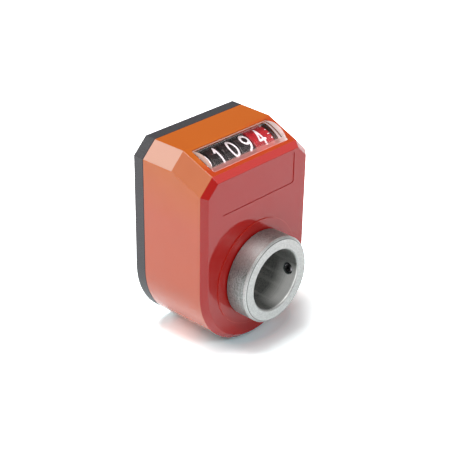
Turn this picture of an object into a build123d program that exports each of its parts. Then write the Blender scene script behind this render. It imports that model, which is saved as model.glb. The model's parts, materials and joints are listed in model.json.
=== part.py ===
from build123d import *
import os
from math import acos, atan2, cos, degrees, hypot, pi, radians, sin, tan

# A direct-drive position indicator with a hollow shaft and a five-digit counter. Millimetres.
# The origin is on the shaft axis at the mounting face. +Y points out of the back, into the
# machine; the front faces -Y; +X is to the right for someone reading the counter.

os.makedirs("parts", exist_ok=True)

# Housing outline, seen from the front: straight sides, two cut corners, round bottom
case_width = 48.0
top_height = 43.0
corner_cut = 5.0
side_taper = 0.5
wall = 2.0

# Housing depths, measured from the mounting face towards the reader
base_depth = 4.3
incline_depth = 16.0
incline_angle = 21.9
front_depth = 29.4
front_bevel = 1.8
edge_round = 0.35

# Window in the slope
window_margin = 7.4
window_length = 10.2
window_setback = 1.1
window_corner = 0.6
window_play = 0.05
window_lip = 0.5
window_lip_depth = 0.7
window_sink = 0.3
lens_rim = 0.4
lens_rise = 1.9

# Raised ring and bare panel on the front face
ring_diameter = 35.4
ring_height = 0.3
panel_margin = 7.8
panel_height = 10.6
panel_depth = 0.2
panel_centre_height = 30.4
panel_corner = 0.8

# Hollow shaft
bore_diameter = 20.0
tube_diameter = 26.0
boss_diameter = 28.5
boss_length = 7.8
boss_play = 0.2
bore_chamfer = 0.5
rear_bore_chamfer = 0.25
boss_chamfer = 0.3
boss_front_chamfer = 0.7
shaft_recess = 0.1
running_play = 0.05

# Bearings and seals of the hollow shaft
hub_wall = 2.8
front_hub_depth = 2.4
base_hub_depth = 2.7
seal_width = 1.6
seal_height = 1.4
seal_lip = 0.5
seal_offset = 0.9
washer_thickness = 0.5
washer_play = 0.15
washer_rim = 2.4

# Set screw, radial in the boss
screw_diameter = 4.0
screw_length = 3.9
screw_angle = -8.5
screw_play = 0.06
screw_socket = 2.0
screw_socket_depth = 2.0
screw_tip_round = 1.2
screw_tip_gap = 0.05

# Crown gear on the shaft, and the pinion it drives
crown_teeth = 40
pinion_teeth = 10
crown_plate = 1.5
tooth_play = 0.3
addendum = 0.9
dedendum = 1.2
pressure_angle = 20.0

# Room beside the shaft that the gear train shares out, from the arbor's arm to the spur gears
arm_share = 0.2
crown_share = 0.36
gap_share = 0.24
gear_share = 0.2
train_wall_gap = 0.5

# Gear train from the pinion to the counter
spur_teeth = 20
idler_teeth = 30
gear_play = 0.12
gear_hub_radius = 2.3
idler_web_thickness = 0.6
idler_rim = 1.6
stud_diameter = 2.0
clip_diameter = 4.4
clip_thickness = 0.3
clip_gap = 0.1
stud_overrun = 0.5

# Bracket of the pinion arbor
arm_gap = 0.6
arm_play = 0.4
crown_clearance = 0.7
bracket_foot = 7.6
bracket_thickness = 1.2
bracket_screw_diameter = 1.4
bracket_screw_spacing = 3.0
bracket_screw_head = 2.6
bracket_screw_head_height = 0.8

# Counter drums
drum_count = 5
drum_diameter = 20.0
drum_right_margin = 2.05
drum_pitch = 6.1
drum_gap = 0.7
tick_margin = 2.8
window_to_drum = 0.7
drum_edge_round = 0.15
axle_diameter = 2.5
drum_hub_wall = 0.8
end_hub_length = 1.1

# Carry gears between the drums
carry_module = 0.7
ring_teeth = 20
carry_teeth = 6
carry_addendum = 0.75
carry_dedendum = 1.1
ring_addendum = 0.6
carry_play = 0.14
plate_thickness = 0.5
plate_radius = 9.4
tang_width = 3.0
carry_long = 1.6
carry_short = 1.2
carry_end_gap = 0.2
carry_side_gap = 0.25
lock_ring_depth = 0.8
lock_teeth = 2
lock_notch_width = 1.2

# Counter frame
frame_thickness = 1.0
frame_floor_gap = 0.3
frame_side_gap = 1.4
axle_boss_radius = 3.4
frame_top_margin = 2.2
frame_shoulder = 4.0
lug_radius = 3.0
axle_overrun = 0.4
gear_hub_gap = 0.3
stud_head_diameter = 4.0
stud_head_thickness = 0.6
tang_play = 0.1
tang_depth = 0.8

# Locating pin moulded on the base
pin_diameter = 6.0
pin_length = 9.0
pin_height = 30.0
pin_chamfer = 0.6

# Base and its screws
base_edge_chamfer = 0.3
rim_depth = 1.8
rim_thickness = 1.0
rim_play = 0.1
post_radius = 2.2
post_depth = 5.6
top_post_inset = 5.1
top_post_drop = 4.3
low_post_angle = 40.0
low_post_inset = 3.2
case_screw_diameter = 2.2
case_screw_length = 9.0
frame_screw_spacing = 22.0
frame_screw_height = 34.0
screw_head_diameter = 4.0
screw_cone = 90.0
screw_head_sink = 0.1
screw_hole_play = 0.05

# Sizes that follow from the ones above
tube_radius = tube_diameter / 2
boss_radius = boss_diameter / 2
journal_radius = tube_radius + running_play
inner_front = front_depth - wall
slope = Plane(
    origin=(0, -incline_depth, top_height),
    x_dir=(1, 0, 0),
    z_dir=(0, -sin(radians(incline_angle)), cos(radians(incline_angle))),
)
window_width = case_width - 2 * window_margin
panel_width = case_width - 2 * panel_margin
window_centre = -(window_setback + window_length / 2)
drum_radius = drum_diameter / 2
drum_axis = slope.from_local_coords((0, window_centre, -(wall + window_to_drum + drum_radius)))

hub_radius = journal_radius + hub_wall
crown_back = base_depth + base_hub_depth + washer_play + washer_thickness
train_gaps = arm_gap + arm_play + clip_gap + clip_thickness + stud_overrun + train_wall_gap
train_room = case_width / 2 - side_taper - wall - tube_radius - train_gaps
arm_thickness = arm_share * train_room
crown_face = crown_share * train_room
gear_gap = gap_share * train_room
gear_thickness = gear_share * train_room
crown_inner = tube_radius + arm_gap + arm_thickness + arm_play
crown_outer = crown_inner + crown_face
crown_module = (crown_inner + crown_outer) / crown_teeth
pinion_radius = pinion_teeth * crown_module / 2
crown_pitch_depth = crown_back + crown_plate + dedendum * crown_module
pinion_axis = Vector(0, -(crown_pitch_depth + pinion_radius), 0)

train_rise = drum_axis.Z - pinion_axis.Z
train_shift = drum_axis.Y - pinion_axis.Y
train_module = hypot(train_rise, train_shift) / (spur_teeth + idler_teeth)
train_angle = degrees(atan2(train_rise, train_shift))
idler_axis = (drum_axis + pinion_axis) * 0.5
gear_left = crown_outer + gear_gap
gear_right = gear_left + gear_thickness
clip_left = gear_right + clip_gap
stud_end = clip_left + clip_thickness + stud_overrun

drum_width = drum_pitch - drum_gap
drums_right = window_width / 2 - drum_right_margin
drums_left = drums_right - tick_margin - drum_count * drum_pitch + drum_gap
axle_radius = axle_diameter / 2
axle_hole_radius = axle_radius + running_play
stud_radius = stud_diameter / 2
stud_hole_radius = stud_radius + running_play
frame_inner = drums_right + frame_side_gap
frame_outer = frame_inner + frame_thickness
frame_left = drums_left - frame_side_gap - frame_thickness
frame_floor_top = drum_axis.Z - drum_radius - frame_floor_gap
frame_floor = frame_floor_top - frame_thickness
carry_distance = (ring_teeth - carry_teeth) * carry_module / 2
carry_radius = carry_teeth * carry_module / 2 + carry_addendum * carry_module
drum_hub_radius = axle_hole_radius + drum_hub_wall
cone_slope = tan(radians(screw_cone / 2))
screw_head_depth = (screw_head_diameter - case_screw_diameter) / 2 / cone_slope
screw_sink_radius = screw_head_diameter / 2 + screw_hole_play + screw_head_sink * cone_slope


def half_width_at(depth):
    """Half of the housing's width at a depth from the mounting face."""
    return case_width / 2 - side_taper * (depth - base_depth) / (front_depth - base_depth)


def top_at(depth, inset):
    """Height of the housing's top at a depth, moved inwards by inset."""
    drop = (depth - incline_depth) * tan(radians(incline_angle)) + inset / cos(radians(incline_angle))
    return top_height - max(inset, drop)


def outline(half, top, cut):
    """Face of the housing's outline: flat top with cut corners, straight sides, round bottom."""
    corner = top - cut
    with BuildSketch() as face:
        with BuildLine():
            Polyline((half, 0), (half, corner), (half - cut, top), (cut - half, top), (-half, corner), (-half, 0))
            ThreePointArc((-half, 0), (0, -half), (half, 0))
        make_face()
    return face.sketch


def housing_face(depth, inset):
    """The housing's outline at a depth, moved inwards by inset."""
    cut = corner_cut - inset * (2 - 2**0.5)
    return outline(half_width_at(depth) - inset, top_at(depth, inset), cut)


def housing_block(inset, front):
    """Ruled solid of the housing, moved inwards by inset, from the base to the front depth."""
    bend = incline_depth - inset * tan(radians(incline_angle) / 2)
    with BuildPart() as block:
        for depth in (base_depth, bend, front):
            with BuildSketch(Plane.XZ.offset(depth)):
                add(housing_face(depth, inset))
        loft(ruled=True)
    return block.part


def crisp_edges(part):
    """Edges of a part where its faces meet at a clear angle."""
    found = ShapeList()
    for edge in part.edges():
        normals = [face.normal_at(edge @ 0.5) for face in part.faces() if edge in face.edges()]
        if normals[0].get_angle(normals[1]) > 10:
            found.append(edge)
    return found


def across(x, axis):
    """Plane square to X, centred on an axis of the counter; its x is Y and its y is Z."""
    return Plane(origin=(x, axis.Y, axis.Z), x_dir=(0, 1, 0), z_dir=(1, 0, 0))


def gear_face(teeth, module, tip, root, play, phase=0.0):
    """Face of an involute gear; play thins its teeth, and phase turns it, in degrees."""
    pitch = teeth * module / 2
    pressure = radians(pressure_angle)
    base = pitch * cos(pressure)
    half_tooth = pi / (2 * teeth) - play / (2 * pitch)
    radii = (pitch - root * module, pitch, pitch + tip * module)

    def half_angle(radius):
        roll = acos(base / radius) if radius > base else 0.0
        return half_tooth + (tan(pressure) - pressure) - (tan(roll) - roll)

    points = []
    for tooth in range(teeth):
        centre = radians(phase) + 2 * pi * tooth / teeth
        flank = [(radius, centre - half_angle(radius)) for radius in radii]
        flank += [(radius, centre + half_angle(radius)) for radius in reversed(radii)]
        points += [(radius * cos(angle), radius * sin(angle)) for radius, angle in flank]
    with BuildSketch() as face:
        with BuildLine():
            Polyline(*points, close=True)
        make_face()
    return face.sketch


def finish(piece, name):
    """Labels a finished piece and writes it."""
    piece.part.label = name
    export_step(piece.part, f"parts/{name}.step")


low_post_radius = case_width / 2 - low_post_inset
low_posts = [
    (low_post_radius * cos(radians(angle)), low_post_radius * sin(radians(angle)))
    for angle in (-low_post_angle, low_post_angle - 180)
]
top_posts = [
    (side * (case_width / 2 - top_post_inset), top_height - top_post_drop) for side in (1, -1)
]
posts = low_posts + top_posts
frame_screws_at = [(side * frame_screw_spacing / 2, frame_screw_height) for side in (1, -1)]


# Case: a moulded shell, open at the back
bevel_depth = front_depth - front_bevel
outer_block = housing_block(0, bevel_depth)
inner_block = housing_block(wall, inner_front)

with BuildPart() as case:
    add(outer_block)
    with BuildSketch(Plane.XZ.offset(bevel_depth)):
        add(housing_face(bevel_depth, 0))
    with BuildSketch(Plane.XZ.offset(front_depth)):
        half = half_width_at(bevel_depth) - front_bevel
        add(outline(half, top_at(bevel_depth, 0) - front_bevel, corner_cut - front_bevel * (2 - 2**0.5)))
    loft(ruled=True)
    rear_edges = case.faces().sort_by(Axis.Y)[-1].edges()
    fillet([edge for edge in crisp_edges(case.part) if edge not in rear_edges], radius=edge_round)
    add(inner_block, mode=Mode.SUBTRACT)
    # Screw posts, kept inside the walls
    with BuildSketch(Plane.XZ.offset(base_depth)):
        with Locations(*posts):
            Circle(post_radius)
        add(housing_face(base_depth + post_depth, wall / 2), mode=Mode.INTERSECT)
    extrude(amount=post_depth)
    # Hub round the shaft, and the raised ring in front of it
    with BuildSketch(Plane.XZ.offset(inner_front - front_hub_depth)):
        Circle(hub_radius)
    extrude(amount=front_hub_depth + wall)
    with BuildSketch(Plane.XZ.offset(front_depth)):
        Circle(ring_diameter / 2)
    extrude(amount=ring_height)
    with BuildSketch(Plane.XZ.offset(front_depth + ring_height)):
        Circle(journal_radius)
    extrude(amount=-(front_depth + ring_height - base_depth), mode=Mode.SUBTRACT)
    with BuildSketch(Plane.XZ.offset(inner_front + wall - seal_offset)):
        Circle(journal_radius + seal_height)
    extrude(amount=-seal_width, mode=Mode.SUBTRACT)
    # Window opening, and the bare panel on the front
    with BuildSketch(slope):
        with Locations((0, window_centre)):
            RectangleRounded(window_width, window_length, window_corner)
    extrude(amount=-wall * 2, mode=Mode.SUBTRACT)
    with BuildSketch(Plane.XZ.offset(front_depth)):
        with Locations((0, panel_centre_height)):
            RectangleRounded(panel_width, panel_height, panel_corner)
    extrude(amount=-panel_depth, mode=Mode.SUBTRACT)
    # Holes for the screws
    with BuildSketch(Plane.XZ.offset(base_depth)):
        with Locations(*posts):
            Circle(case_screw_diameter / 2)
    extrude(amount=case_screw_length - base_depth + screw_head_sink, mode=Mode.SUBTRACT)
finish(case, "case")


# Window: a clear lens with a flange round it and a lip behind the wall, glued in from inside
pane_width = window_width - 2 * window_play
pane_length = window_length - 2 * window_play
lens_end = pane_width / 2 - lens_rim
lens_edge = pane_length / 2 - lens_rim
lens_section = Plane(
    origin=slope.from_local_coords((-lens_end, window_centre, -window_sink)),
    x_dir=slope.y_dir,
    z_dir=(1, 0, 0),
)
with BuildPart() as window:
    with BuildSketch(slope.offset(-window_sink)):
        with Locations((0, window_centre)):
            RectangleRounded(pane_width, pane_length, window_corner - window_play)
    extrude(amount=window_sink - wall)
    with BuildSketch(lens_section):
        with BuildLine():
            Line((-lens_edge, 0), (lens_edge, 0))
            ThreePointArc((lens_edge, 0), (0, lens_rise), (-lens_edge, 0))
        make_face()
    extrude(amount=2 * lens_end)
    with BuildSketch(slope.offset(-wall)):
        with Locations((0, window_centre)):
            Rectangle(window_width + 2 * window_lip, window_length + 2 * window_lip)
            Rectangle(window_width - 2 * window_lip, window_length - 2 * window_lip, mode=Mode.SUBTRACT)
    extrude(amount=-window_lip_depth)
finish(window, "window")


# Base: the plate behind the case, with its rim, hub, locating pin and screw holes
def rear_spot(spot):
    """Place on the mounting face, looking out of the back."""
    return Plane(origin=(spot[0], 0, spot[1]), x_dir=(1, 0, 0), z_dir=(0, 1, 0))


with BuildPart() as base:
    with BuildSketch(Plane.XZ):
        add(housing_face(base_depth, 0))
    extrude(amount=base_depth)
    outer_rims = [face.edges() for face in base.faces().filter_by(Axis.Y)]
    chamfer(outer_rims[0] + outer_rims[1], length=base_edge_chamfer)
    with BuildSketch(Plane.XZ.offset(base_depth)):
        add(housing_face(base_depth, wall + rim_play))
        add(housing_face(base_depth, wall + rim_play + rim_thickness), mode=Mode.SUBTRACT)
        with Locations(*posts):
            Circle(post_radius + rim_play, mode=Mode.SUBTRACT)
    extrude(amount=rim_depth)
    with BuildSketch(Plane.XZ.offset(base_depth)):
        Circle(hub_radius)
    extrude(amount=base_hub_depth)
    with BuildSketch(Plane.XZ):
        Circle(journal_radius)
    extrude(amount=base_depth + base_hub_depth, mode=Mode.SUBTRACT)
    with BuildSketch(Plane.XZ.offset(seal_offset)):
        Circle(journal_radius + seal_height)
    extrude(amount=seal_width, mode=Mode.SUBTRACT)
    with BuildSketch(Plane.XZ):
        with Locations((0, pin_height)):
            Circle(pin_diameter / 2)
    extrude(amount=-pin_length)
    chamfer(base.faces().sort_by(Axis.Y)[-1].edges(), length=pin_chamfer)
    with Locations(*[rear_spot(spot) for spot in posts + frame_screws_at]):
        CounterSinkHole(
            radius=case_screw_diameter / 2 + screw_hole_play,
            counter_sink_radius=screw_sink_radius,
            counter_sink_angle=screw_cone,
            depth=base_depth,
        )
finish(base, "base")


# Screws: one set holds the base to the case, the other holds the counter frame to the base
def countersunk_screws(spots, length):
    """Countersunk screws driven in from the back at the given places."""
    with BuildPart() as screws:
        with Locations(*[rear_spot(spot).offset(-screw_head_sink) for spot in spots]):
            Cylinder(
                case_screw_diameter / 2,
                length - screw_head_sink,
                align=(Align.CENTER, Align.CENTER, Align.MAX),
            )
            Cone(
                case_screw_diameter / 2,
                screw_head_diameter / 2,
                screw_head_depth,
                align=(Align.CENTER, Align.CENTER, Align.MAX),
            )
    return screws


finish(countersunk_screws(posts, case_screw_length), "base_screws")
finish(countersunk_screws(frame_screws_at, base_depth + frame_thickness), "frame_screws")


# Hollow shaft: a turned sleeve with a thick boss in front and a threaded hole for the set screw
boss_back = front_depth + ring_height + boss_play
boss_front = boss_back + boss_length
bore_radius = bore_diameter / 2
screw_plane = Plane(
    origin=(0, -(boss_back + boss_front) / 2, 0),
    x_dir=(0, 1, 0),
    z_dir=(cos(radians(screw_angle)), 0, sin(radians(screw_angle))),
)

with BuildPart() as hollow_shaft:
    with BuildSketch(Plane.XY):
        with BuildLine():
            Polyline(
                (bore_radius + rear_bore_chamfer, -shaft_recess),
                (tube_radius - boss_chamfer, -shaft_recess),
                (tube_radius, -shaft_recess - boss_chamfer),
                (tube_radius, -boss_back),
                (boss_radius - boss_chamfer, -boss_back),
                (boss_radius, -boss_back - boss_chamfer),
                (boss_radius, boss_front_chamfer - boss_front),
                (boss_radius - boss_front_chamfer, -boss_front),
                (bore_radius + bore_chamfer, -boss_front),
                (bore_radius, bore_chamfer - boss_front),
                (bore_radius, -shaft_recess - rear_bore_chamfer),
                close=True,
            )
        make_face()
    revolve(axis=Axis.Y)
    with BuildSketch(screw_plane):
        Circle(screw_diameter / 2)
    extrude(amount=boss_radius + 1, mode=Mode.SUBTRACT)
finish(hollow_shaft, "hollow_shaft")

with BuildPart() as set_screw:
    with BuildSketch(screw_plane.offset(bore_radius + screw_tip_gap)):
        Circle(screw_diameter / 2 - screw_play)
    extrude(amount=screw_length)
    ends = set_screw.faces().filter_by(GeomType.PLANE).sort_by(Axis.X)
    fillet(ends[0].edges(), radius=screw_tip_round)
    with BuildSketch(screw_plane.offset(bore_radius + screw_tip_gap + screw_length)):
        RegularPolygon(screw_socket / 2, 6, major_radius=False)
    extrude(amount=-screw_socket_depth, mode=Mode.SUBTRACT)
finish(set_screw, "set_screw")


# Seals: lip rings, one in the base and one in the case
def lip_seal(back, name):
    """Ring in a groove that starts at the depth back, with a lip that runs on the shaft."""
    inner = tube_radius + running_play / 2
    outer = journal_radius + seal_height
    with BuildPart() as seal:
        with BuildSketch(Plane.XY):
            with BuildLine():
                Polyline(
                    (outer, -back),
                    (outer, -back - seal_width),
                    (inner + seal_lip, -back - seal_width),
                    (inner, -back - seal_width / 2),
                    (inner + seal_lip, -back),
                    close=True,
                )
            make_face()
        revolve(axis=Axis.Y)
    finish(seal, name)


lip_seal(seal_offset, "rear_seal")
lip_seal(inner_front + wall - seal_offset - seal_width, "front_seal")


# Crown gear, pressed on the shaft, with straight tooth spaces cut across its rim
crown_pitch = pi * crown_module
crown_tip = addendum * crown_module
crown_root = dedendum * crown_module
flank_slope = tan(radians(pressure_angle))
space_middle = crown_pitch / 2 + tooth_play / 2
crown_hub_radius = tube_radius + arm_gap + arm_thickness

with BuildPart() as crown_gear:
    with BuildSketch(Plane.XZ.offset(crown_back)):
        Circle(crown_outer)
        Circle(tube_radius, mode=Mode.SUBTRACT)
    extrude(amount=crown_plate + crown_root + crown_tip)
    spaces = []
    for tooth in range(crown_teeth):
        angle = 2 * pi * tooth / crown_teeth
        radial = Vector(cos(angle), 0, sin(angle))
        start = radial * crown_hub_radius - Vector(0, crown_pitch_depth, 0)
        spaces.append(Plane(origin=start, x_dir=(0, 1, 0), z_dir=radial))
    with BuildSketch(*spaces):
        half_root = space_middle / 2 - crown_root * flank_slope
        half_tip = space_middle / 2 + 2 * crown_tip * flank_slope
        with BuildLine():
            Polyline(
                (crown_root, half_root),
                (crown_root, -half_root),
                (-2 * crown_tip, -half_tip),
                (-2 * crown_tip, half_tip),
                close=True,
            )
        make_face()
    extrude(amount=crown_outer - crown_hub_radius + 1, mode=Mode.SUBTRACT)
finish(crown_gear, "crown_gear")

with BuildPart() as thrust_washer:
    with BuildSketch(Plane.XZ.offset(crown_back - washer_thickness)):
        Circle(tube_radius + washer_rim)
        Circle(tube_radius, mode=Mode.SUBTRACT)
    extrude(amount=washer_thickness)
finish(thrust_washer, "thrust_washer")


# Pinion and spur gear in one moulding, running on the arbor
with BuildPart() as drive_pinion:
    with BuildSketch(across(crown_inner, pinion_axis)):
        add(gear_face(pinion_teeth, crown_module, addendum, dedendum, tooth_play))
    extrude(amount=crown_face)
    with BuildSketch(across(crown_outer, pinion_axis)):
        Circle(gear_hub_radius)
    extrude(amount=gear_gap)
    with BuildSketch(across(gear_left, pinion_axis)):
        add(gear_face(spur_teeth, train_module, addendum, dedendum, gear_play, train_angle))
    extrude(amount=gear_thickness)
    with BuildSketch(across(crown_inner, pinion_axis)):
        Circle(stud_hole_radius)
    extrude(amount=gear_right - crown_inner, mode=Mode.SUBTRACT)
finish(drive_pinion, "drive_pinion")

arm_left = tube_radius + arm_gap
arm_right = arm_left + arm_thickness
with BuildPart() as pinion_arbor:
    with BuildSketch(across(arm_left, pinion_axis)):
        Circle(stud_radius)
    extrude(amount=stud_end - arm_left)
finish(pinion_arbor, "pinion_arbor")

# Idler gear with a thin web and a hub that reaches to the frame
hub_start = frame_outer + gear_hub_gap
idler_root = idler_teeth * train_module / 2 - dedendum * train_module
with BuildPart() as idler_gear:
    with BuildSketch(across(gear_left, idler_axis)):
        phase = train_angle + 180 / idler_teeth
        add(gear_face(idler_teeth, train_module, addendum, dedendum, gear_play, phase))
    extrude(amount=gear_thickness)
    for x, side in ((gear_left, 1), (gear_right, -1)):
        with BuildSketch(across(x, idler_axis)):
            Circle(idler_root - idler_rim)
            Circle(gear_hub_radius, mode=Mode.SUBTRACT)
        extrude(amount=side * (gear_thickness - idler_web_thickness) / 2, mode=Mode.SUBTRACT)
    with BuildSketch(across(hub_start, idler_axis)):
        Circle(gear_hub_radius)
    extrude(amount=gear_left - hub_start)
    with BuildSketch(across(hub_start, idler_axis)):
        Circle(stud_hole_radius)
    extrude(amount=gear_right - hub_start, mode=Mode.SUBTRACT)
finish(idler_gear, "idler_gear")

with BuildPart() as idler_stud:
    with BuildSketch(across(frame_inner, idler_axis)):
        Circle(stud_radius)
    extrude(amount=stud_end - frame_inner)
    with BuildSketch(across(frame_inner - stud_head_thickness, idler_axis)):
        Circle(stud_head_diameter / 2)
    extrude(amount=stud_head_thickness)
finish(idler_stud, "idler_stud")

with BuildPart() as retaining_clips:
    for axis in (pinion_axis, idler_axis):
        with BuildSketch(across(clip_left, axis)):
            Circle(clip_diameter / 2)
            Circle(stud_radius, mode=Mode.SUBTRACT)
        extrude(amount=clip_thickness)
finish(retaining_clips, "retaining_clips")


# Gear on the end of the drum axle, and the axle itself
with BuildPart() as drum_gear:
    with BuildSketch(across(gear_left, drum_axis)):
        add(gear_face(spur_teeth, train_module, addendum, dedendum, gear_play, train_angle))
    extrude(amount=gear_thickness)
    with BuildSketch(across(hub_start, drum_axis)):
        Circle(gear_hub_radius)
    extrude(amount=gear_left - hub_start)
    with BuildSketch(across(hub_start, drum_axis)):
        Circle(axle_radius)
    extrude(amount=gear_right - hub_start, mode=Mode.SUBTRACT)
finish(drum_gear, "drum_gear")

axle_left = frame_left - axle_overrun
with BuildPart() as drum_axle:
    with BuildSketch(across(axle_left, drum_axis)):
        Circle(axle_radius)
    extrude(amount=gear_right + axle_overrun - axle_left)
finish(drum_axle, "drum_axle")


# Counter frame: floor, back and two side plates, with a lug for the idler stud on the right
frame_front = drum_axis.Y - axle_boss_radius
frame_top = frame_screw_height + frame_top_margin
frame_back = -base_depth
frame_width = frame_outer - frame_left
frame_middle = (frame_outer + frame_left) / 2
gaps = [drums_left - drum_gap / 2 + (index + 1) * drum_pitch for index in range(drum_count - 1)]
arm_half = pinion_radius - crown_tip - crown_clearance
foot_middle = (arm_left + arm_right - bracket_foot) / 2
bracket_screws_at = [
    (foot_middle + side * bracket_screw_spacing / 2, pinion_axis.Y) for side in (-1, 1)
]

with BuildPart() as counter_frame:
    with BuildSketch(Plane.XY.offset(frame_floor)):
        with Locations((frame_middle, (frame_front + frame_back) / 2)):
            Rectangle(frame_width, frame_back - frame_front)
        with Locations(*[(x, drum_axis.Y) for x in gaps]):
            Rectangle(plate_thickness + 2 * tang_play, tang_width + 2 * tang_play, mode=Mode.SUBTRACT)
        with Locations(*bracket_screws_at):
            Circle(bracket_screw_diameter / 2, mode=Mode.SUBTRACT)
    extrude(amount=frame_thickness)
    with BuildSketch(Plane.XZ.offset(base_depth)):
        with Locations((frame_middle, (frame_floor + frame_top) / 2)):
            Rectangle(frame_width, frame_top - frame_floor)
        with Locations(*frame_screws_at):
            Circle(case_screw_diameter / 2, mode=Mode.SUBTRACT)
    extrude(amount=frame_thickness)
    for x in (frame_inner, frame_left):
        with BuildSketch(Plane.YZ.offset(x)):
            Polygon(
                (frame_back, frame_floor),
                (frame_back, frame_top),
                (frame_back - frame_shoulder, frame_top),
                (drum_axis.Y, drum_axis.Z + axle_boss_radius),
                (frame_front, drum_axis.Z),
                (frame_front, frame_floor),
                align=None,
            )
            with Locations((drum_axis.Y, drum_axis.Z)):
                Circle(axle_boss_radius)
                Circle(axle_hole_radius, mode=Mode.SUBTRACT)
        extrude(amount=frame_thickness)
    with BuildSketch(Plane.YZ.offset(frame_inner)):
        with Locations((idler_axis.Y, idler_axis.Z)):
            Circle(lug_radius)
        with Locations((idler_axis.Y, (idler_axis.Z + frame_floor) / 2)):
            Rectangle(2 * lug_radius, frame_floor - idler_axis.Z)
        with Locations((idler_axis.Y, idler_axis.Z)):
            Circle(stud_radius, mode=Mode.SUBTRACT)
    extrude(amount=frame_thickness)
finish(counter_frame, "counter_frame")


# Bracket that hangs from the frame's floor and carries the pinion arbor
with BuildPart() as pinion_bracket:
    with BuildSketch(across(arm_left, pinion_axis)):
        Circle(arm_half)
        with Locations((0, frame_floor / 2)):
            Rectangle(2 * arm_half, frame_floor)
        Circle(stud_radius, mode=Mode.SUBTRACT)
    extrude(amount=arm_thickness)
    with BuildSketch(Plane.XY.offset(frame_floor)):
        with Locations((arm_right - bracket_foot / 2, pinion_axis.Y)):
            Rectangle(bracket_foot, 2 * arm_half)
        with Locations(*bracket_screws_at):
            Circle(bracket_screw_diameter / 2, mode=Mode.SUBTRACT)
    extrude(amount=-bracket_thickness)
finish(pinion_bracket, "pinion_bracket")

with BuildPart() as bracket_screws:
    with BuildSketch(Plane.XY.offset(frame_floor_top)):
        with Locations(*bracket_screws_at):
            Circle(bracket_screw_diameter / 2)
    extrude(amount=-frame_thickness - bracket_thickness)
    with BuildSketch(Plane.XY.offset(frame_floor - bracket_thickness)):
        with Locations(*bracket_screws_at):
            Circle(bracket_screw_head / 2)
    extrude(amount=-bracket_screw_head_height)
finish(bracket_screws, "bracket_screws")


# Number drums from right to left. Each has a ring gear in its right side, driven by the carry
# pinion, and a locking ring with two teeth in its left side, which moves the next carry pinion.
# The units drum is wider on the right, where it has room for a scale of tenths.
drum_names = ["drum_units", "drum_tens", "drum_hundreds", "drum_thousands", "drum_ten_thousands"]
plate_gap = (drum_gap - plate_thickness) / 2
ring_depth = carry_long - plate_gap + carry_end_gap
carry_recess = carry_short - plate_gap + carry_end_gap
recess_radius = carry_distance + carry_radius + carry_side_gap
lock_radius = ring_teeth * carry_module / 2 - ring_addendum * carry_module
tooth_angle = 360 / ring_teeth

for place, name in enumerate(drum_names):
    units = place == 0
    highest = place == drum_count - 1
    margin = tick_margin if units else 0
    left = drums_left + (drum_count - 1 - place) * drum_pitch
    right = left + drum_width + margin
    with BuildPart() as drum:
        with BuildSketch(across(left, drum_axis)):
            Circle(drum_radius)
        extrude(amount=right - left)
        chamfer(drum.edges(), length=drum_edge_round)
        with BuildSketch(across(right, drum_axis)):
            if units:
                Circle(recess_radius)
            else:
                add(gear_face(ring_teeth, carry_module, carry_dedendum, ring_addendum, -carry_play))
            Circle(drum_hub_radius, mode=Mode.SUBTRACT)
        extrude(amount=-ring_depth - margin, mode=Mode.SUBTRACT)
        if highest:
            with BuildSketch(across(left - end_hub_length, drum_axis)):
                Circle(drum_hub_radius)
            extrude(amount=end_hub_length)
        else:
            with BuildSketch(across(left, drum_axis)):
                Circle(recess_radius)
                Circle(drum_hub_radius, mode=Mode.SUBTRACT)
            extrude(amount=carry_recess, mode=Mode.SUBTRACT)
            with BuildSketch(across(left + carry_recess, drum_axis)):
                Circle(lock_radius)
                notches = lock_teeth + 1
                first = -tooth_angle * lock_teeth / 2
                with PolarLocations(lock_radius, notches, first, tooth_angle * lock_teeth):
                    Rectangle(2 * carry_dedendum * carry_module, lock_notch_width)
                Circle(drum_hub_radius, mode=Mode.SUBTRACT)
            extrude(amount=lock_ring_depth, mode=Mode.SUBTRACT)
        if units:
            with BuildSketch(across(right, drum_axis)):
                Circle(drum_hub_radius)
            extrude(amount=end_hub_length)
        with BuildSketch(across(left - end_hub_length, drum_axis)):
            Circle(axle_radius if units else axle_hole_radius)
        extrude(amount=right - left + 2 * end_hub_length, mode=Mode.SUBTRACT)
    finish(drum, name)


# Carry plates, held against turning by a tang in the frame's floor, and their pinions
for place in range(drum_count - 1):
    middle = gaps[drum_count - 2 - place]
    carry_axis = drum_axis + Vector(0, carry_distance, 0)
    tang_end = drum_axis.Z - frame_floor_top + tang_depth
    with BuildPart() as plate:
        with BuildSketch(across(middle - plate_thickness / 2, drum_axis)):
            Circle(plate_radius)
            with Locations((0, -tang_end / 2)):
                Rectangle(tang_width, tang_end)
            Circle(axle_hole_radius, mode=Mode.SUBTRACT)
            with Locations((carry_distance, 0)):
                Circle(carry_radius + running_play, mode=Mode.SUBTRACT)
        extrude(amount=plate_thickness)
    finish(plate, f"carry_plate_{place + 1}")

    teeth = gear_face(carry_teeth, carry_module, carry_addendum, carry_dedendum, carry_play)
    with BuildPart() as pinion:
        with BuildSketch(across(middle - plate_thickness / 2, carry_axis)):
            Circle(carry_radius)
        extrude(amount=plate_thickness)
        with BuildSketch(across(middle - plate_thickness / 2, carry_axis)):
            add(teeth)
        extrude(amount=-carry_long)
        with BuildSketch(across(middle + plate_thickness / 2, carry_axis)):
            add(teeth)
            with PolarLocations(carry_radius, carry_teeth // 2, 360 / carry_teeth):
                Rectangle(2 * carry_addendum * carry_module, carry_radius, mode=Mode.SUBTRACT)
        extrude(amount=carry_short)
    finish(pinion, f"carry_pinion_{place + 1}")
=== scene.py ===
import json
from math import cos, hypot, pi, radians, sin, tau

import bpy
from mathutils import Matrix, Vector


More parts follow.
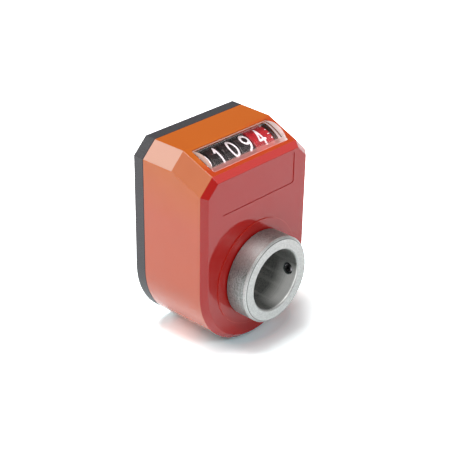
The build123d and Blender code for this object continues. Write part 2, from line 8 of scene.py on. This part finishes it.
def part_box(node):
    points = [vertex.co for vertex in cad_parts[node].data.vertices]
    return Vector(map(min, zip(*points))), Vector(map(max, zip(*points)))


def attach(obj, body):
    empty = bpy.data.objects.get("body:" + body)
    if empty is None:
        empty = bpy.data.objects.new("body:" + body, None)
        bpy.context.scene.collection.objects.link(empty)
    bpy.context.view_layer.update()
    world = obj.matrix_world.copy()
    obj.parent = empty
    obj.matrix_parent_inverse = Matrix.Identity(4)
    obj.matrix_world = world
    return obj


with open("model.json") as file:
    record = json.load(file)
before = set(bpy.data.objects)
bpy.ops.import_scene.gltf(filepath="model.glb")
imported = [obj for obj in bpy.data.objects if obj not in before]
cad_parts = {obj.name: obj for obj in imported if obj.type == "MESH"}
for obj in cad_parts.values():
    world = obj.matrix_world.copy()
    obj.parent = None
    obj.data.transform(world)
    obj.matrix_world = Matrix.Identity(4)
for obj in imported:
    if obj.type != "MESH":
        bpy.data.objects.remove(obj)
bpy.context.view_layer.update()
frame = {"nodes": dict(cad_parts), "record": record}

# A position indicator with a hollow shaft and a five-digit counter, seen from its front left.
# Lengths are metres. The CAD nodes keep their places; this script adds their looks, the print on
# the drums, the floor, the light and the camera.

nodes = frame["nodes"]

# Places read from the frame
case_low, case_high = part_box("case")
shaft_low, shaft_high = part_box("hollow_shaft")
units_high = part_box("drum_units")[1]
tens_low, tens_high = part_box("drum_tens")
hundreds_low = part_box("drum_hundreds")[0]
drum_radius = (tens_high.z - tens_low.z) / 2
drum_pitch = tens_low.x - hundreds_low.x
drum_axis = Vector((0, (tens_low.y + tens_high.y) / 2, (tens_low.z + tens_high.z) / 2))
boss_radius = shaft_high.z

# Sizes of the case: its slope, which the counter is read square to, and its front. Places along
# the slope are 0 at its upper crease and negative below it. The lens reaches lens_edge up and down
# from the window's middle.
incline = radians(21.9)
crease_depth = 0.016
window_middle = -0.0062
lens_edge = 0.00465
front_bevel = 0.0018
front_ring = 0.0003
ring_radius = 0.0177
bevel_y = case_low.y + front_ring + front_bevel

# Sizes of the shaft and of the drums' bearing hubs
boss_chamfer = 0.0007
boss_rear_y = -0.0280
bore_radius = 0.010
hub_length = 0.0011

# What the counter shows, from the right
reading = {
    "drum_units": 4,
    "drum_tens": 9,
    "drum_hundreds": 0,
    "drum_thousands": 1,
    "drum_ten_thousands": 0,
}

# Print on the drums
digit_height = 0.0049
digit_width = 0.0032
stroke_width = 0.00065
print_offset = 0.0011
print_height = 0.00003
reading_tilt = 0.115
cells_across = 26
tick_length = 0.0006
tick_width = 0.00022
tick_margin = 0.0003
ticks_per_digit = 5
long_tick = 1.6

# Most of what a noise gives lies in this range
noise_range = (0.3, 0.7)


def linear(red, green, blue):
    """Linear colour of an sRGB colour given in 0 to 255."""
    def channel(value):
        value /= 255
        return value / 12.92 if value <= 0.04045 else ((value + 0.055) / 1.055) ** 2.4

    return (channel(red), channel(green), channel(blue), 1.0)


class Nodes:
    """Short ways to add shader nodes to a tree. They take plain values or other sockets."""

    def __init__(self, tree):
        self.tree = tree

    def node(self, kind, **settings):
        found = self.tree.nodes.new("ShaderNode" + kind)
        for key, value in settings.items():
            setattr(found, key, value)
        return found

    def link(self, source, target):
        self.tree.links.new(source, target)

    def feed(self, sockets, values):
        """Link each socket to its value, or set it where the value is a plain one."""
        for socket, value in zip(sockets, values):
            if isinstance(value, bpy.types.NodeSocket):
                self.link(value, socket)
            else:
                socket.default_value = value

    def math(self, operation, first, second=0.0):
        found = self.node("Math", operation=operation)
        self.feed(found.inputs, (first, second))
        return found.outputs[0]

    def product(self, first, second):
        return self.math("MULTIPLY", first, second)

    def largest(self, first, *others):
        for other in others:
            first = self.math("MAXIMUM", first, other)
        return first

    def off(self, value, middle):
        """How far a value is from the middle, to either side."""
        return self.math("ABSOLUTE", self.math("SUBTRACT", value, middle))

    def span(self, across, up):
        """Length of a slanting line from its two parts."""
        squares = self.product(across, across), self.product(up, up)
        return self.math("SQRT", self.math("ADD", *squares))

    def split(self, vector):
        found = self.node("SeparateXYZ")
        self.link(vector, found.inputs[0])
        return found.outputs["X"], found.outputs["Y"], found.outputs["Z"]

    def join(self, x, y, z):
        found = self.node("CombineXYZ")
        self.feed(found.inputs, (x, y, z))
        return found.outputs[0]

    def ramp(self, factor, low, high, bottom=0.0, top=1.0):
        """Factor carried from low..high to bottom..top, and held there."""
        found = self.node("MapRange")
        self.feed(found.inputs, (factor, low, high, bottom, top))
        return found.outputs[0]

    def seen(self):
        """1 for rays that show the background, straight, mirrored or through glass, 0 for light."""
        rays = self.node("LightPath").outputs
        kinds = ("Is Camera Ray", "Is Glossy Ray", "Is Transmission Ray")
        return self.largest(*[rays[kind] for kind in kinds])


class Material(Nodes):
    """A node material with one Principled shader, which starts with plain values."""

    def __init__(self, name, colour, roughness, metallic=0.0, **sockets):
        self.material = bpy.data.materials.new(name)
        self.material.use_nodes = True
        super().__init__(self.material.node_tree)
        self.shader = self.tree.nodes["Principled BSDF"]
        self.output = self.tree.nodes["Material Output"]
        self.shader.inputs["Base Color"].default_value = colour
        self.shader.inputs["Roughness"].default_value = roughness
        self.shader.inputs["Metallic"].default_value = metallic
        for socket, value in sockets.items():
            self.shader.inputs[socket.replace("_", " ")].default_value = value

    def drive(self, socket, source):
        self.link(source, self.shader.inputs[socket])

    def place(self):
        """Place on the piece in metres, from its own coordinates."""
        return self.node("TexCoord").outputs["Object"]

    def facing(self):
        """Direction that the surface faces, split into its parts."""
        return self.split(self.node("NewGeometry").outputs["True Normal"])

    def noise(self, scale, detail=2.0, vector=None, roughness=0.5):
        found = self.node("TexNoise")
        found.inputs["Scale"].default_value = scale
        found.inputs["Detail"].default_value = detail
        found.inputs["Roughness"].default_value = roughness
        self.link(vector or self.place(), found.inputs["Vector"])
        return found.outputs["Fac"]

    def vary(self, noise, bottom, top):
        """Noise carried from its usual range to bottom..top."""
        return self.ramp(noise, *noise_range, bottom, top)

    def mix(self, factor, first, second):
        """Colour between first and second."""
        found = self.node("Mix", data_type="RGBA")
        self.link(factor, found.inputs[0])
        self.feed(found.inputs[6:8], (first, second))
        return found.outputs[2]

    def mix_shader(self, factor, first, second):
        found = self.node("MixShader")
        self.feed(found.inputs, (factor, first.outputs[0], second.outputs[0]))
        return found

    def bump(self, height, depth, strength):
        found = self.node("Bump")
        found.inputs["Strength"].default_value = strength
        found.inputs["Distance"].default_value = depth
        self.link(height, found.inputs["Height"])
        self.drive("Normal", found.outputs[0])


def case_plastic():
    """Glossy moulded orange plastic with light and shade painted into its colour: orange on top and
    on the sides, and red on the front and its bevel as painted shade.
    """
    # Only the orange is the plastic's own colour; the salmon and the warm orange are painted
    # reflections
    orange, reflected_salmon, reflected_warm_orange = linear(200, 102, 36), linear(199, 92, 62), linear(194, 70, 32)
    # The corner tones are painted light on the cut corners
    slope_corner_light, top_corner_light = linear(192, 114, 80), linear(198, 142, 118)
    # The front's reds are painted shade, the ring edge's red a painted highlight and the bevel's
    # red painted light
    red, ring_highlight_red, lit_bevel_red = linear(170, 22, 18), linear(198, 54, 42), linear(196, 34, 28)
    look = Material("case_plastic", orange, 0.1, IOR=1.405)
    x, y, z = look.split(look.place())
    sideways, lean, upwards = look.facing()
    sideways, lean = look.math("ABSOLUTE", sideways), look.math("ABSOLUTE", lean)

    # Top and sides: salmon below and warmer on the slope's right part and before the window, both
    # painted reflections
    below_top = (case_high.z - 0.004, case_high.z - 0.022)
    right_part, past_crease, by_front = (0.002, 0.019), (-0.0155, -0.0175), (-0.0215, -0.0255)
    hue = look.mix(look.ramp(z, *below_top), orange, reflected_salmon)
    right = look.product(look.ramp(x, *right_part), look.ramp(y, *past_crease))
    warm_reflection = look.largest(right, look.ramp(y, *by_front))
    warm_reflection = look.product(warm_reflection, look.ramp(upwards, 0.8, 0.9))
    hue = look.mix(warm_reflection, hue, reflected_warm_orange)

    # Cut upper corners, painted light: paler along the flat top than along the slope
    corner_light = look.ramp(look.product(sideways, upwards), 0.3, 0.4)
    corner_light_hue = look.mix(look.ramp(lean, 0.2, 0.1), slope_corner_light, top_corner_light)
    hue = look.mix(corner_light, hue, corner_light_hue)

    # Front: red as painted shade; the raised ring's edge is lighter as a painted highlight, and the
    # upper bevel is lighter as painted light
    line_width, line_blur = 0.0002, 0.0001
    off_ring = look.off(look.span(x, z), ring_radius)
    ring_highlight = look.ramp(off_ring, line_width, line_width - line_blur, 0.0, 0.55)
    shaded_front_hue = look.mix(ring_highlight, red, ring_highlight_red)
    lit_upper_bevel = look.ramp(look.product(lean, upwards), 0.36, 0.44)
    shaded_front_hue = look.mix(lit_upper_bevel, shaded_front_hue, lit_bevel_red)
    hue = look.mix(look.ramp(y, bevel_y + line_blur, bevel_y - line_blur), hue, shaded_front_hue)

    clouds = look.vary(look.noise(scale=90.0, detail=3.0), 0.0, 0.05)
    look.drive("Base Color", look.mix(clouds, hue, linear(150, 40, 24)))
    look.drive("Roughness", look.vary(look.noise(scale=700.0, detail=3.0), 0.04, 0.08))
    look.bump(look.noise(scale=2600.0), depth=0.000004, strength=0.35)
    return look.material


def base_plastic():
    """Black plastic with the fine grain of an eroded mould."""
    dark, light = linear(46, 45, 48), linear(74, 73, 76)
    look = Material("base_plastic", dark, 0.55, IOR=1.4)
    grain = look.noise(scale=5200.0, detail=4.0)
    look.drive("Base Color", look.mix(look.ramp(grain, 0.35, 0.65), dark, light))
    look.drive("Roughness", look.vary(grain, 0.45, 0.62))
    look.bump(grain, depth=0.00003, strength=0.5)
    return look.material


def clear_plastic():
    """Clear lens with frosted ends and rim, the frost painting the glare seen in the clear plastic
    there. Lamps shine through it and light the drums behind.
    """
    clear_tone, shadow_tone = linear(252, 246, 245), linear(250, 240, 238)
    look = Material("clear_plastic", clear_tone, 0.02, IOR=1.3, Transmission_Weight=1.0)
    look.drive("Roughness", look.vary(look.noise(scale=500.0), 0.01, 0.03))
    clear = look.node("BsdfTransparent")
    clear.inputs["Color"].default_value = shadow_tone
    lens = look.mix_shader(look.node("LightPath").outputs["Is Shadow Ray"], look.shader, clear)

    # Place along the slope, and the lens's edges there
    x, y, z = look.split(look.place())
    level = look.product(look.math("ADD", y, crease_depth), cos(incline))
    drop = look.product(look.math("SUBTRACT", z, case_high.z), sin(incline))
    along = look.math("ADD", level, drop)
    lower, upper = window_middle - lens_edge, window_middle + lens_edge
    strip_width, strip_blur, edge_blur = 0.0013, 0.0005, 0.00005

    # Frost on the ends, outside the lens's edge and on a strip along its lower edge, as painted
    # glare
    ends = look.ramp(look.math("ABSOLUTE", look.facing()[0]), 0.85, 0.95)
    off_middle = look.off(along, window_middle)
    rim = look.ramp(off_middle, lens_edge - edge_blur, lens_edge + edge_blur, 0.0, 0.6)
    strip = look.ramp(along, lower + strip_width, lower + strip_width - strip_blur)
    glare_mask = look.largest(ends, rim, look.product(strip, 0.55))

    # Its tone: whiter at the right end as a painted highlight, and reddened at the upper rim and
    # the strip as a painted reflection of the case
    right_end = look.ramp(x, 0.012, 0.016)
    painted_frost_tone = look.mix(right_end, linear(228, 204, 194), linear(255, 244, 240))
    reflected_upper_rim = look.ramp(along, upper - 2 * edge_blur, upper)
    painted_frost_tone = look.mix(reflected_upper_rim, painted_frost_tone, linear(232, 176, 158))
    reflected_red = look.product(strip, look.math("SUBTRACT", 1.0, right_end))
    glare_frost = look.node("BsdfPrincipled")
    glare_frost.inputs["Roughness"].default_value = 0.5
    look.link(look.mix(reflected_red, painted_frost_tone, linear(238, 156, 148)), glare_frost.inputs["Base Color"])
    look.link(look.mix_shader(glare_mask, lens, glare_frost).outputs[0], look.output.inputs[0])
    return look.material


def turned_steel():
    """Passivated steel turned about the shaft axis: fine rings, a grain, a dull bore painted dark
    as shade, and painted sheen, reflections and light on the boss's side and in the bore.
    """
    dark, light = linear(140, 141, 140), linear(181, 181, 179)
    look = Material("turned_steel", light, 0.4, metallic=0.75)
    x, y, z = look.split(look.place())
    radius = look.span(x, z)
    rings = look.noise(scale=5200.0, vector=look.join(radius, y, 0.0))
    grain = look.noise(scale=2000.0, detail=4.0, roughness=0.65)
    spread = look.math("ADD", look.product(rings, 0.5), look.product(grain, 0.5))
    patches = look.ramp(spread, 0.36, 0.62)

    # Faces, with a darker line round the boss where its chamfer begins, as painted shade
    tone = look.mix(patches, dark, light)
    off_shade_line = look.off(radius, boss_radius - boss_chamfer)
    tone = look.mix(look.ramp(off_shade_line, 0.00014, 0.00008), tone, linear(104, 105, 104))

    # Side of the boss, from its front edge to its rear, painted darker and cooler than the faces as
    # shade, with a lighter band at its upper left as painted sheen
    sheen_middle, sheen_reach, sheen_core = radians(121), radians(30), radians(4)
    side = look.ramp(y, shaft_low.y + 0.0008, shaft_low.y + 0.0012)
    side = look.product(side, look.ramp(y, boss_rear_y, boss_rear_y - 0.0008))
    off_sheen = look.off(look.math("ARCTAN2", z, x), sheen_middle)
    painted_sheen = look.ramp(off_sheen, sheen_reach, sheen_core, 0.0, 0.42)
    shaded_side_tone = look.mix(patches, linear(83, 89, 88), linear(165, 174, 172))
    tone = look.mix(side, tone, look.mix(painted_sheen, shaded_side_tone, linear(240, 252, 250)))

    # Bore, painted dark as shade, with painted reflection streaks along it and a patch of painted
    # light low on the right near the front
    inside = look.ramp(radius, bore_radius + 0.0003, bore_radius + 0.0001)
    shaded_wall = look.mix(patches, linear(74, 75, 73), linear(140, 141, 138))
    reflection_streaks = look.noise(scale=320.0, vector=look.join(x, look.product(y, 0.12), z))
    shaded_wall = look.mix(look.ramp(reflection_streaks, 0.54, 0.66, 0.0, 0.45), shaded_wall, linear(176, 176, 173))
    low_right, near_front = (0.0062, 0.0092), (-0.0290, -0.0345)
    down_right = look.math("SUBTRACT", look.product(x, 0.72), look.product(z, 0.69))
    wear_and_painted_light = look.product(look.ramp(down_right, *low_right), look.ramp(y, *near_front))
    wear_and_painted_light = look.product(wear_and_painted_light, look.ramp(rings, 0.3, 0.6, 0.75, 1.0))
    tone = look.mix(inside, tone, look.mix(wear_and_painted_light, shaded_wall, linear(250, 250, 247)))

    look.drive("Base Color", tone)
    look.drive("Metallic", look.ramp(inside, 0.0, 1.0, 0.7, 0.3))
    look.drive("Roughness", look.vary(spread, 0.36, 0.54))
    look.bump(spread, depth=0.00003, strength=0.6)
    return look.material


def plain_metal(name, colour, roughness, wear_and_painted_light):
    """Metal with a faint cloud of worn tone and a fine grain."""
    look = Material(name, colour, roughness, metallic=1.0)
    clouds = look.noise(scale=900.0, detail=4.0)
    look.drive("Base Color", look.mix(look.ramp(clouds, 0.35, 0.7), colour, wear_and_painted_light))
    look.drive("Roughness", look.vary(clouds, roughness - 0.06, roughness + 0.08))
    look.bump(look.noise(scale=4200.0), depth=0.00001, strength=0.4)
    return look.material


def moulded(name, colour, other, roughness):
    """Plain moulded plastic or rubber with a faint mottle and a fine mould grain."""
    look = Material(name, colour, roughness)
    clouds = look.noise(scale=420.0, detail=3.0)
    look.drive("Base Color", look.mix(look.vary(clouds, 0.0, 1.0), colour, other))
    look.drive("Roughness", look.vary(clouds, roughness - 0.05, roughness + 0.07))
    look.bump(look.noise(scale=3600.0), depth=0.00001, strength=0.35)
    return look.material


finishes = {
    "case_plastic": case_plastic(),
    "base_plastic": base_plastic(),
    "clear_plastic": clear_plastic(),
    "turned_steel": turned_steel(),
    "zinc_steel": plain_metal("zinc_steel", linear(196, 197, 192), 0.34, linear(160, 158, 150)),
    "black_steel": plain_metal("black_steel", linear(78, 78, 80), 0.22, linear(120, 120, 122)),
    "washer_brass": plain_metal("washer_brass", linear(205, 164, 92), 0.3, linear(176, 132, 70)),
    "seal_rubber": moulded("seal_rubber", linear(34, 34, 35), linear(48, 48, 50), 0.6),
    "frame_plastic": moulded("frame_plastic", linear(222, 196, 180), linear(206, 176, 160), 0.45),
    "white_plastic": moulded("white_plastic", linear(228, 232, 238), linear(212, 217, 226), 0.4),
    "drum_red": moulded("drum_red", linear(158, 9, 28), linear(146, 7, 24), 0.38),
    "drum_black": moulded("drum_black", linear(17, 11, 15), linear(26, 18, 23), 0.4),
    "plate_plastic": moulded("plate_plastic", linear(36, 34, 36), linear(46, 44, 46), 0.5),
}
slot_of = {part["node"]: part["material_slot"] for part in frame["record"]["subparts"]}
for name, node in nodes.items():
    node.data.materials.clear()
    node.data.materials.append(finishes[slot_of[name]])


def arc(centre, size, start, end, steps=14):
    """Points on an ellipse, from one angle in degrees to another."""
    angles = [radians(start + (end - start) * step / steps) for step in range(steps + 1)]
    return [(centre[0] + size[0] * cos(a), centre[1] + size[1] * sin(a)) for a in angles]


# Strokes of each digit, in a cell that is 1 wide and 1 high with its centre at the origin
strokes = {
    0: [arc((0, 0), (0.5, 0.5), 0, 360, 28)],
    1: [[(-0.28, 0.24), (0.06, 0.5), (0.06, -0.5)]],
    2: [arc((0, 0.24), (0.48, 0.26), 165, -35) + [(-0.48, -0.5), (0.5, -0.5)]],
    3: [arc((-0.02, 0.25), (0.45, 0.25), 155, -90) + arc((-0.02, -0.25), (0.5, 0.25), 90, -155)],
    4: [[(0.1, 0.5), (-0.48, -0.2), (0.5, -0.2)], [(0.1, 0.5), (0.26, -0.5)]],
    5: [[(0.42, 0.5), (-0.36, 0.5), (-0.42, 0.05)] + arc((-0.02, -0.18), (0.5, 0.32), 135, -150)],
    6: [arc((0, -0.22), (0.5, 0.28), 0, 360, 24), arc((0.5, -0.22), (1.0, 0.75), 180, 108, 10)],
    7: [[(-0.48, 0.5), (0.48, 0.5), (-0.1, -0.5)]],
    8: [arc((0, 0.26), (0.4, 0.24), 0, 360, 22), arc((0, -0.24), (0.5, 0.26), 0, 360, 24)],
    9: [arc((0, 0.22), (0.5, 0.28), 0, 360, 24), arc((-0.5, 0.22), (1.0, 0.75), 0, -72, 10)],
}


def stroke_distance(point, lines):
    """Distance in metres from a point on the drum's flattened surface to the nearest stroke."""
    nearest = 1.0
    for line in lines:
        for (x1, y1), (x2, y2) in zip(line, line[1:]):
            run, rise = x2 - x1, y2 - y1
            squared = max(run ** 2 + rise ** 2, 1e-12)
            share = ((point[0] - x1) * run + (point[1] - y1) * rise) / squared
            share = min(1.0, max(0.0, share))
            gap = hypot(point[0] - x1 - share * run, point[1] - y1 - share * rise)
            nearest = min(nearest, gap)
    return nearest


def digit_faces(digit):
    """Points and faces of one flat digit, in metres: a grid of cells, cut along the outline."""
    size = (digit_width - stroke_width, digit_height - stroke_width)
    lines = [[(x * size[0], y * size[1]) for x, y in line] for line in strokes[digit]]
    step = digit_width / (cells_across - 2)
    across, up = cells_across, round(digit_height / step) + 2
    grid = {}
    for row in range(up + 1):
        for column in range(across + 1):
            point = ((column - across / 2) * step, (row - up / 2) * step)
            grid[column, row] = (point, stroke_width / 2 - stroke_distance(point, lines))
    points, faces, known = [], [], {}

    def number(key, place):
        """Number of the point with this key, which is added if it is new."""
        if key not in known:
            known[key] = len(points)
            points.append(place)
        return known[key]

    for column, row in [(c, r) for c in range(across) for r in range(up)]:
        corners = [(column, row), (column + 1, row), (column + 1, row + 1), (column, row + 1)]
        face = []
        for here, there in zip(corners, corners[1:] + corners[:1]):
            (place, depth), (other, beyond) = grid[here], grid[there]
            if depth > 0:
                face.append(number(here, place))
            if (depth > 0) != (beyond > 0):
                share = depth / (depth - beyond)
                crossing = tuple(a + (b - a) * share for a, b in zip(place, other))
                face.append(number(tuple(sorted((here, there))), crossing))
        if len(face) > 2:
            faces.append(face)
    return points, faces


def on_drum(x, arc_up, turn):
    """Point on a drum: x along its axis, arc_up round its surface from the reading's middle."""
    angle = pi / 2 + incline - reading_tilt + turn - arc_up / drum_radius
    radius = drum_radius + print_height
    return (x, drum_axis.y + radius * cos(angle), drum_axis.z + radius * sin(angle))


def add_mesh(name, points, faces, material):
    """A mesh object with one material, in the scene."""
    mesh = bpy.data.meshes.new(name)
    mesh.from_pydata(points, [], faces)
    mesh.validate()
    mesh.update()
    mesh.materials.append(material)
    piece = bpy.data.objects.new(name, mesh)
    bpy.context.scene.collection.objects.link(piece)
    return piece


def add_print(name, points, faces, body):
    """White print that rides on a drum's body."""
    slot = "white_plastic"
    piece = add_mesh(name, points, faces, finishes[slot])
    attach(piece, body)


def print_middle(rank):
    """Middle of a drum's digits along the axis; the units drum has rank 0."""
    return (tens_low.x + tens_high.x) / 2 + (1 - rank) * drum_pitch + print_offset


flat_digits = [digit_faces(digit) for digit in range(10)]
for rank, (drum, shown) in enumerate(reading.items()):
    points, faces = [], []
    for digit, (flat, cells) in enumerate(flat_digits):
        turn = (digit - shown) * tau / 10
        start = len(points)
        points += [on_drum(print_middle(rank) + x, up, turn) for x, up in flat]
        faces += [[start + index for index in cell] for cell in cells]
    add_print(drum + "_digits", points, faces, drum.removeprefix("drum_") + "_drum")

tick_count = 10 * ticks_per_digit
tick_right = units_high.x - hub_length - tick_margin
points = []
for tick in range(tick_count):
    turn = tick * tau / tick_count
    length = tick_length * (long_tick if tick % ticks_per_digit == 0 else 1.0)
    for x, up in ((-length, -0.5), (0, -0.5), (0, 0.5), (-length, 0.5)):
        points.append(on_drum(tick_right + x, up * tick_width, turn))
faces = [list(range(start, start + 4)) for start in range(0, len(points), 4)]
add_print("drum_units_ticks", points, faces, "units_drum")

# Floor: how far it reaches, how much brighter it is seen than it lights the object, and the oval
# round the object where it is darker, so that the shadow there is as deep as in the photograph.
# The oval has a dark core and a pale border, both painted shadow, the border cooled against the red
# light that the case bounces onto the floor; each has the distances where it begins to fade and
# where it ends.
floor_reach = 1.6
seen_brightness = 2.1
oval_middle = (0.005, -0.024)
oval_stretch = 1.6
oval_core = (0.0085, 0.0165)
oval_border = (0.030, 0.075)


def floor_look():
    """White diffuse floor, seen bright enough to be plain white, with a painted shadow near the
    object.
    """
    look = Material("floor", (0.94, 0.94, 0.94, 1.0), 0.9)
    x, y = look.split(look.place())[:2]
    across = look.math("DIVIDE", look.math("SUBTRACT", x, oval_middle[0]), oval_stretch)
    away = look.span(across, look.math("SUBTRACT", y, oval_middle[1]))
    plain = look.mix(look.noise(scale=3.0), (0.93, 0.93, 0.94, 1.0), (0.94, 0.94, 0.95, 1.0))
    # Under the case's left part the painted shadow is tinted cool, against the red light that the
    # case bounces there
    cool_under_case = look.product(look.ramp(y, -0.034, -0.022), look.ramp(x, 0.014, -0.004))
    shade = look.mix(cool_under_case, (0.4, 0.42, 0.43, 1.0), (0.4, 0.7, 0.77, 1.0))
    tone = look.mix(look.ramp(away, *oval_border), (0.8, 0.88, 0.89, 1.0), plain)
    tone = look.mix(look.ramp(away, *oval_core), shade, tone)
    bright = look.node("VectorMath", operation="SCALE")
    look.link(tone, bright.inputs[0])
    look.link(look.ramp(look.seen(), 0.0, 1.0, 1.0, seen_brightness), bright.inputs["Scale"])
    matt = look.node("BsdfDiffuse")
    look.link(bright.outputs[0], matt.inputs["Color"])
    look.link(matt.outputs[0], look.output.inputs[0])
    return look.material


floor_sides = ((-1, -1), (1, -1), (1, 1), (-1, 1))
corners = [(x * floor_reach, y * floor_reach, case_low.z) for x, y in floor_sides]
piece = add_mesh("floor", corners, [(0, 1, 2, 3)], floor_look())

# Square lamps round the object, turned to its middle: their place, side and watts
lamps = {
    "back_left_box": ((-0.96, 1.1, 1.24), 1.0, 13.5),
    "top_box": ((-0.35, 0.3, 2.1), 0.9, 29.0),
    "left_box": ((-1.8, -0.5, 0.6), 1.2, 3.0),
    "right_box": ((1.25, -0.95, 1.15), 0.8, 2.1),
    "front_box": ((-0.25, -1.7, 1.5), 0.6, 11.0),
}
for name, (place, side, watts) in lamps.items():
    lamp = bpy.data.lights.new(name, "AREA")
    lamp.shape = "RECTANGLE"
    lamp.size = lamp.size_y = side
    lamp.energy = watts
    lamp_object = bpy.data.objects.new(name, lamp)
    bpy.context.scene.collection.objects.link(lamp_object)
    lamp_object.location = place
    lamp_object.rotation_mode = "QUATERNION"
    aim = (case_low + case_high) / 2 - Vector(place)
    lamp_object.rotation_quaternion = aim.to_track_quat("-Z", "Y")

# World: soft light, weaker from behind and above, and white wherever the horizon is seen
front_level, rear_level = 0.38, 0.08
rear_direction = (0.0, 0.9, 0.45)
horizon_end = (0.2, 0.3)
world = bpy.data.worlds.new("studio")
world.use_nodes = True
sky = Nodes(world.node_tree)
background = sky.tree.nodes["Background"]
background.inputs["Color"].default_value = (1.0, 1.0, 1.0, 1.0)
direction = sky.node("TexCoord").outputs["Generated"]
rearward = sky.node("VectorMath", operation="DOT_PRODUCT")
sky.feed(rearward.inputs, (direction, rear_direction))
soft_light = sky.ramp(rearward.outputs["Value"], 0.0, 0.6, front_level, rear_level)
horizon = sky.ramp(sky.split(direction)[2], *horizon_end, 1.0, 0.0)
strength = sky.largest(soft_light, sky.product(sky.seen(), horizon))
sky.link(strength, background.inputs["Strength"])
bpy.context.scene.world = world

# Camera, at the photograph's viewing angle
camera_azimuth = radians(-46.98)
camera_elevation = radians(28.57)
camera_roll = radians(0.88)
camera_distance = 0.3773
camera_target = Vector((-0.0004, -0.0160, 0.0112))
camera = bpy.data.cameras.new("camera")
camera.sensor_width = 36.0
camera.lens = 95.9
camera.clip_start, camera.clip_end = 0.01, 20.0
camera_object = bpy.data.objects.new("camera", camera)
bpy.context.scene.collection.objects.link(camera_object)
level = cos(camera_elevation)
back = Vector(
    (sin(camera_azimuth) * level, -cos(camera_azimuth) * level, sin(camera_elevation))
)
camera_object.location = camera_target + back * camera_distance
camera_object.rotation_mode = "QUATERNION"
facing = (-back).to_track_quat("-Z", "Y").to_matrix() @ Matrix.Rotation(camera_roll, 3, "Z")
camera_object.rotation_quaternion = facing.to_quaternion()
bpy.context.scene.camera = camera_object
bpy.context.scene.view_settings.view_transform = "Standard"
